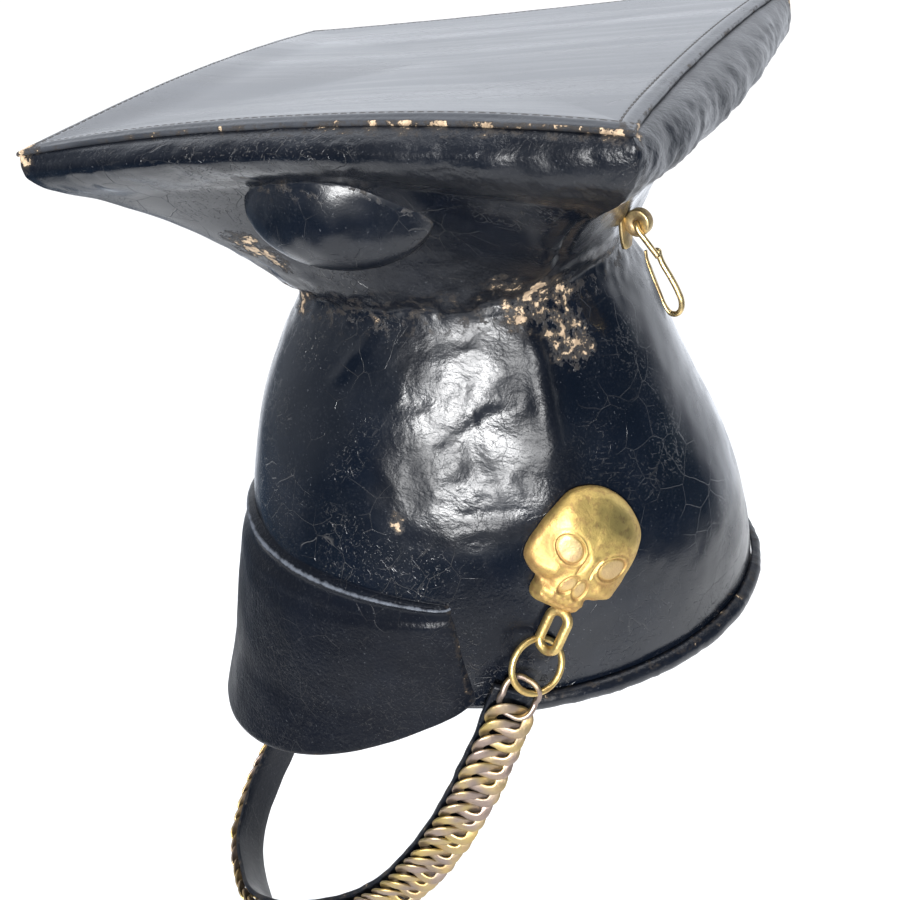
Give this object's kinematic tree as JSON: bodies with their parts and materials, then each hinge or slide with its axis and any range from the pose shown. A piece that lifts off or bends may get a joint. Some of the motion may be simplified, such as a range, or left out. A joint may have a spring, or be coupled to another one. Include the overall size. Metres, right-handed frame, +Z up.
{
  "type": "lancer cap",
  "caption": "Black lacquered leather lancer cap with a square mortarboard top, a steep visor, brass skull bosses and a brass chin chain on a leather strap.",
  "frame": {"origin": "centre of the head opening at the level of the rim", "axes": "+Z up out of the top of the cap, -Y to the visor at the front, +X to the wearer's left"},
  "size_m": [0.277, 0.2944, 0.3517],
  "materials": {
    "leather": "glossy",
    "brass": "polished",
    "chain": "satin"
  },
  "bodies": {
    "cap": {"crown": "leather", "mortarboard": "leather", "top_plate": "leather", "visor": "leather", "rim_binding": "leather", "cockade_pocket": "leather", "skull_boss_left": "brass", "skull_boss_right": "brass", "boss_loop_left": "brass", "boss_loop_right": "brass", "chin_ring_left": "brass", "chin_ring_right": "brass", "chin_strap": "leather", "chin_chain": "chain", "hook_plate": "brass"},
    "hook": {"snap_hook": "brass"}
  },
  "joints": [
    {"name": "hook_swing", "type": "hinge", "parent": "cap", "child": "hook", "pos_m": [0.06016, 0.03558, 0.16319], "axis": [0.5592, -0.829, 0], "range_deg": [0, 90]}
  ]
}
